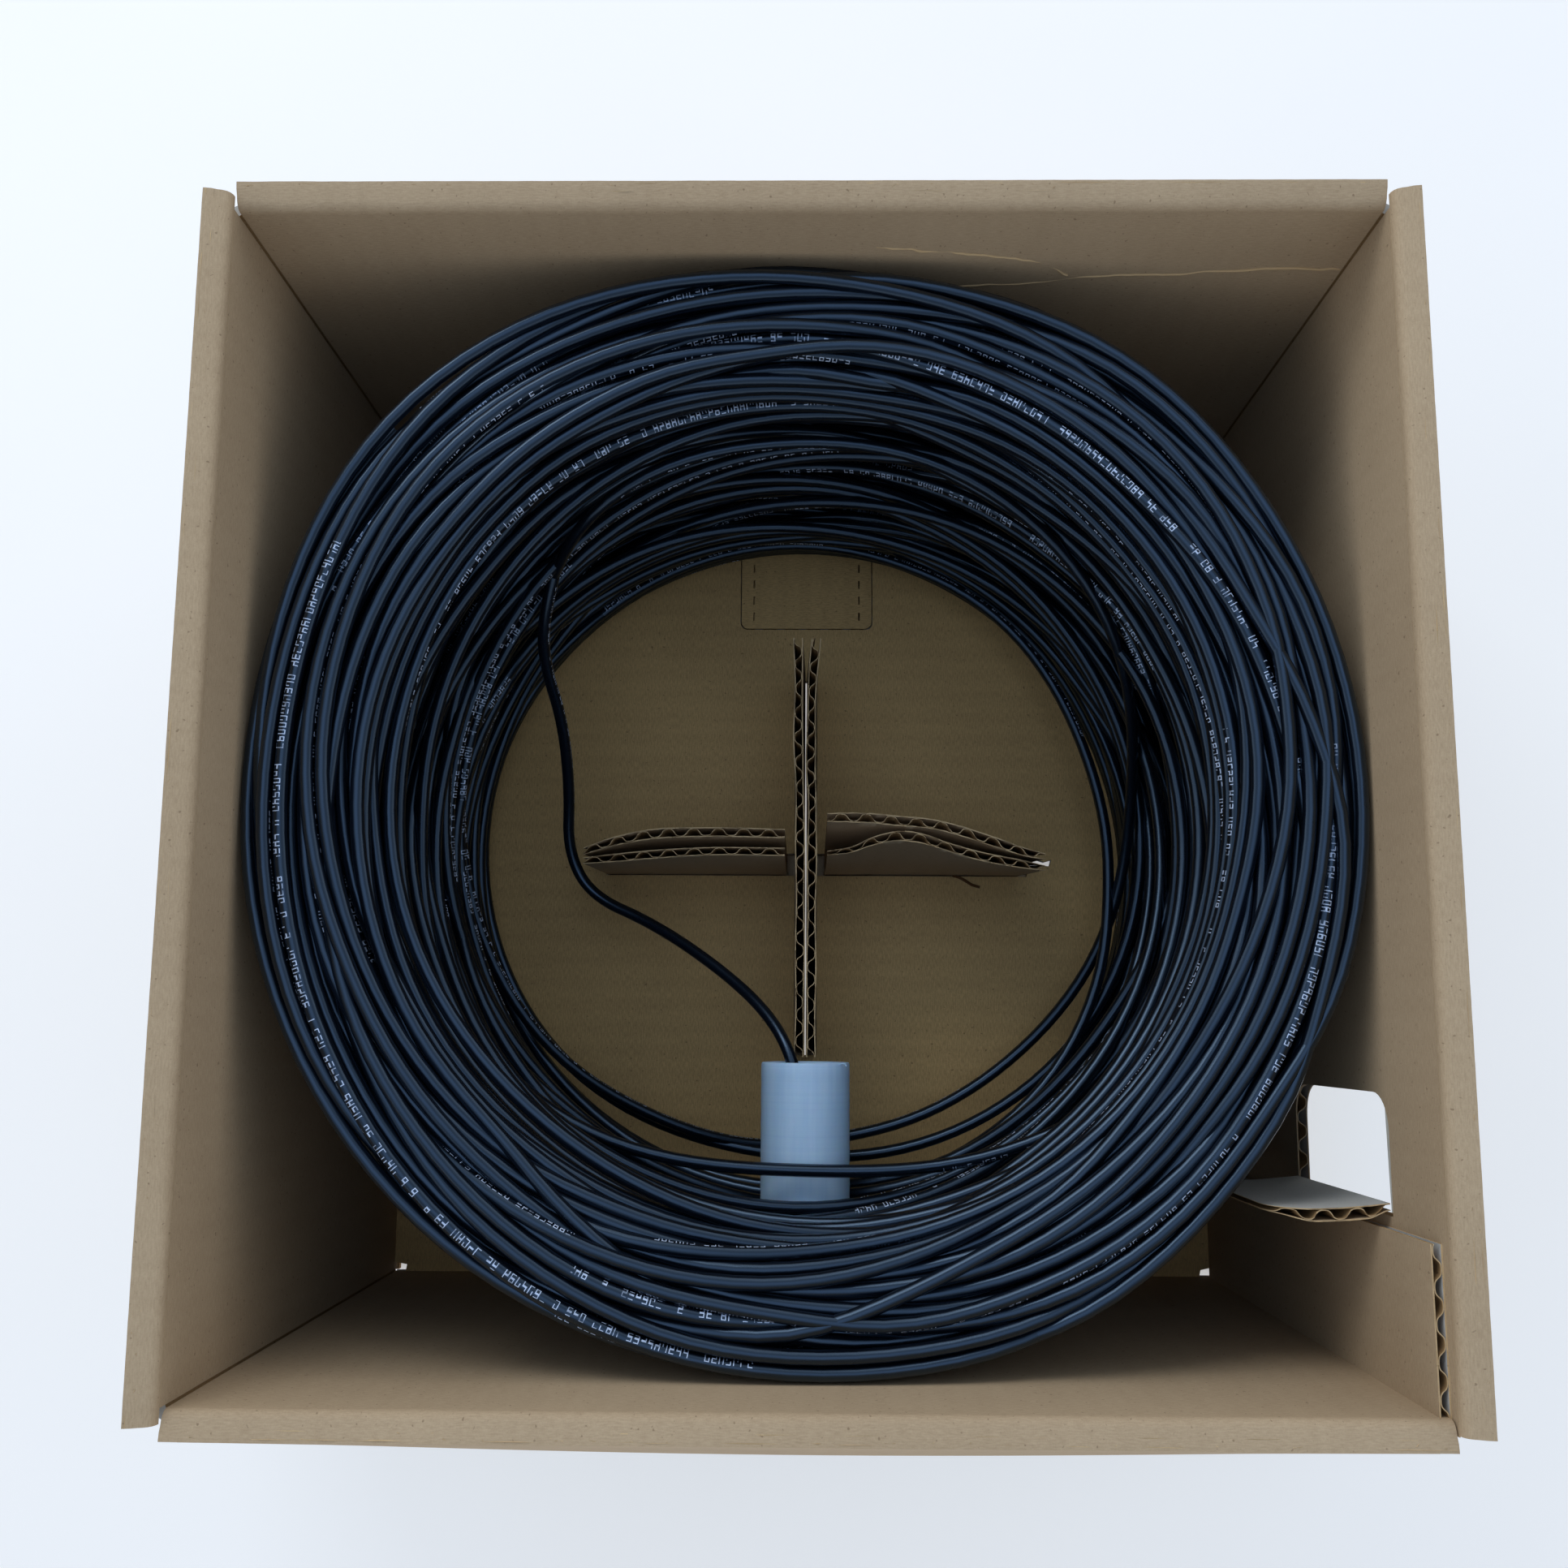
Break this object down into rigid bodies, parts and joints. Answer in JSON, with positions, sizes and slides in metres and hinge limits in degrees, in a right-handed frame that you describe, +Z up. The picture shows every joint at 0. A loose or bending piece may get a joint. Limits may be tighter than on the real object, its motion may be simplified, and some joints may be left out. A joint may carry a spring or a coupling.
{
  "type": "bulk cable box",
  "caption": "Square corrugated carton, open at the top, holding a hollow cross-wound coil of black cable that pays out through a plastic tube in one wall.",
  "frame": {"origin": "centre of the underside of the closed end, on the ground", "axes": "+Z up, out of the open end; -Y towards the wall with the payout tube; +X towards the wall with the hand hole"},
  "size_m": [0.3666, 0.3666, 0.1989],
  "materials": {
    "corrugated_board": "matt kraft liner inside, mottled white liner outside",
    "cable_jacket": "satin black PVC jacket with small white ink marks",
    "payout_tube": "satin natural-white polyethylene"
  },
  "bodies": {
    "carton": {"carton_wall_front": "corrugated_board", "carton_wall_back": "corrugated_board", "carton_wall_left": "corrugated_board", "carton_wall_right": "corrugated_board", "glue_joint_tab": "corrugated_board", "base_inner_panel": "corrugated_board", "base_outer_flap_left": "corrugated_board", "base_outer_flap_right": "corrugated_board", "rib_long_left": "corrugated_board", "rib_long_right": "corrugated_board", "rib_front_left": "corrugated_board", "rib_front_right": "corrugated_board", "rib_back_left": "corrugated_board", "rib_back_right": "corrugated_board", "knockout_tab": "corrugated_board", "cable_winding": "cable_jacket", "cable_lead": "cable_jacket"},
    "front_flap": {"top_flap_front": "corrugated_board"},
    "right_flap": {"top_flap_right": "corrugated_board"},
    "back_flap": {"top_flap_back": "corrugated_board"},
    "left_flap": {"top_flap_left": "corrugated_board"},
    "hand_flap": {"hand_hole_flap": "corrugated_board"},
    "tube": {"payout_tube": "payout_tube"}
  },
  "joints": [
    {"name": "front_flap_crease", "type": "hinge", "parent": "carton", "child": "front_flap", "pos_m": [0, -0.1432, 0.19475], "axis": [-1, 0, 0], "range_deg": [0, 255]},
    {"name": "right_flap_crease", "type": "hinge", "parent": "carton", "child": "right_flap", "pos_m": [0.1432, 0, 0.1981], "axis": [0, -1, 0], "range_deg": [0, 255]},
    {"name": "back_flap_crease", "type": "hinge", "parent": "carton", "child": "back_flap", "pos_m": [0, 0.1432, 0.19475], "axis": [1, 0, 0], "range_deg": [0, 255]},
    {"name": "left_flap_crease", "type": "hinge", "parent": "carton", "child": "left_flap", "pos_m": [-0.1432, 0, 0.1981], "axis": [0, 1, 0], "range_deg": [0, 255]},
    {"name": "hand_hole_flap_crease", "type": "hinge", "parent": "carton", "child": "hand_flap", "pos_m": [0.14, -0.101, 0.1304], "axis": [0, 0, -1], "range_deg": [0, 90]},
    {"name": "payout_tube_slide", "type": "slide", "parent": "carton", "child": "tube", "axis": [0, -1, 0], "range_m": [0, 0.02]}
  ]
}
